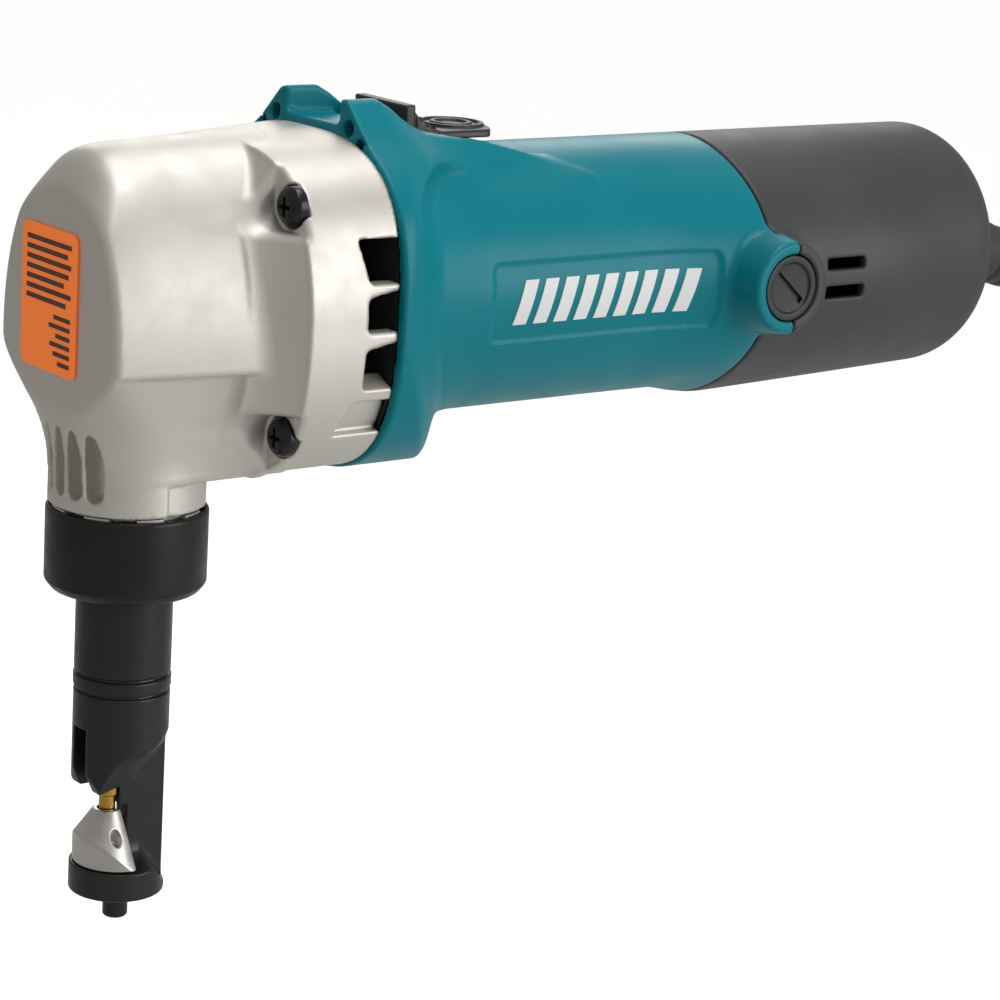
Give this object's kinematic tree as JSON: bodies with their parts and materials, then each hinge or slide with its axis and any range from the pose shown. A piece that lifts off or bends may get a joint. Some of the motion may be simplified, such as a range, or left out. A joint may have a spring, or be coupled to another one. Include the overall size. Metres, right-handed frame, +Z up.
{
  "type": "sheet metal nibbler",
  "caption": "Corded nibbler with an aluminium gear head, a turning punch and die set below it, a barrel motor housing, a slide switch and a rear cord.",
  "frame": {"origin": "centre of the flat underside of the die screw, on the punch axis, the lowest point of the tool", "axes": "+X along the motor axis to the rear cord, +Z up along the punch axis, the gear head's front at -X"},
  "size_m": [0.3637, 0.0862, 0.1887],
  "materials": {
    "cast_aluminium": "satin cast, fine shot-blast grain",
    "teal_nylon": "moulded, semi-matte",
    "charcoal_nylon": "moulded, fine texture",
    "blackened_steel": "black oxide",
    "ground_steel": "ground",
    "gold_coated_steel": "hard coated, gold coloured",
    "bearing_bronze": "sintered",
    "copper_winding": "enamelled wire",
    "brass": "machined",
    "laminated_iron": "stacked laminations",
    "carbon_brush": "pressed carbon",
    "black_plastic": "moulded",
    "cord_rubber": "matte rubber",
    "orange_label": "printed film"
  },
  "bodies": {
    "housing": {"gear_housing": "cast_aluminium", "guide_sleeve": "bearing_bronze", "label_plate": "orange_label", "neck_ring": "ground_steel", "crank_front_bearing": "ground_steel", "crank_rear_bearing": "ground_steel", "bearing_bracket": "cast_aluminium", "armature_front_bearing": "ground_steel", "armature_rear_bearing": "ground_steel", "field_core": "laminated_iron", "field_coil_upper": "copper_winding", "field_coil_lower": "copper_winding", "baffle_plate": "black_plastic", "rear_bearing_support": "black_plastic", "motor_housing": "teal_nylon", "rear_cover": "charcoal_nylon", "switch_body": "black_plastic", "cord_guard": "cord_rubber", "power_cord": "cord_rubber", "cord_clamp": "black_plastic", "rear_cover_screw": "blackened_steel", "brush_holder_left": "brass", "brush_spring_left": "ground_steel", "cord_clamp_screw_left": "blackened_steel", "housing_screw_upper_left": "blackened_steel", "housing_screw_lower_left": "blackened_steel", "brush_holder_right": "brass", "brush_spring_right": "ground_steel", "cord_clamp_screw_right": "blackened_steel", "housing_screw_upper_right": "blackened_steel", "housing_screw_lower_right": "blackened_steel"},
    "lock_nut": {"lock_nut": "blackened_steel"},
    "die_set": {"die_holder": "blackened_steel", "die": "ground_steel", "die_screw": "blackened_steel"},
    "punch_set": {"punch": "gold_coated_steel"},
    "ram_set": {"ram": "ground_steel", "punch_screw": "blackened_steel", "connecting_rod": "ground_steel", "wrist_pin": "ground_steel"},
    "crank": {"crankshaft": "ground_steel", "crank_gear": "ground_steel"},
    "armature": {"armature_shaft": "ground_steel", "armature_core": "laminated_iron", "armature_winding": "copper_winding", "commutator": "brass", "fan": "black_plastic"},
    "switch_slide": {"switch_knob": "black_plastic", "switch_rod": "black_plastic"},
    "brush_cap_left": {"brush_cap_left": "black_plastic"},
    "brush_cap_right": {"brush_cap_right": "black_plastic"},
    "carbon_brush_left": {"carbon_brush_left": "carbon_brush"},
    "carbon_brush_right": {"carbon_brush_right": "carbon_brush"}
  },
  "joints": [
    {"name": "armature_spin", "type": "hinge", "parent": "housing", "child": "armature", "pos_m": [0.1, 0, 0.1445], "axis": [1, 0, 0], "continuous": true},
    {"name": "crank_spin", "type": "hinge", "parent": "housing", "child": "crank", "pos_m": [0, 0, 0.161], "axis": [1, 0, 0], "continuous": true},
    {"name": "ram_stroke", "type": "slide", "parent": "housing", "child": "ram_set", "axis": [0, 0, 1], "range_m": [0, 0.005]},
    {"name": "die_turn", "type": "hinge", "parent": "housing", "child": "die_set", "pos_m": [0, 0, 0.0445], "axis": [0, 0, 1], "range_deg": [-180, 180]},
    {"name": "punch_stroke", "type": "slide", "parent": "die_set", "child": "punch_set", "axis": [0, 0, 1], "range_m": [0, 0.005]},
    {"name": "lock_nut_turn", "type": "hinge", "parent": "housing", "child": "lock_nut", "pos_m": [0, 0, 0.0895], "axis": [0, 0, 1], "range_deg": [0, 360]},
    {"name": "switch_travel", "type": "slide", "parent": "housing", "child": "switch_slide", "axis": [-1, 0, 0], "range_m": [0, 0.0045]},
    {"name": "brush_cap_left_turn", "type": "hinge", "parent": "housing", "child": "brush_cap_left", "pos_m": [0.1563, 0.0386, 0.1445], "axis": [0, 1, 0], "continuous": true},
    {"name": "brush_cap_right_turn", "type": "hinge", "parent": "housing", "child": "brush_cap_right", "pos_m": [0.1563, -0.0386, 0.1445], "axis": [0, 1, 0], "continuous": true},
    {"name": "brush_lift_left", "type": "slide", "parent": "housing", "child": "carbon_brush_left", "axis": [0, 1, 0], "range_m": [0, 0.004], "deforming": ["brush_spring_left"]},
    {"name": "brush_lift_right", "type": "slide", "parent": "housing", "child": "carbon_brush_right", "axis": [0, -1, 0], "range_m": [0, 0.004], "deforming": ["brush_spring_right"]}
  ],
  "couplings": [
    {"joint": "crank_spin", "follows": "armature_spin", "ratio": -0.22222},
    {"joint": "punch_stroke", "follows": "ram_stroke", "ratio": 1}
  ]
}
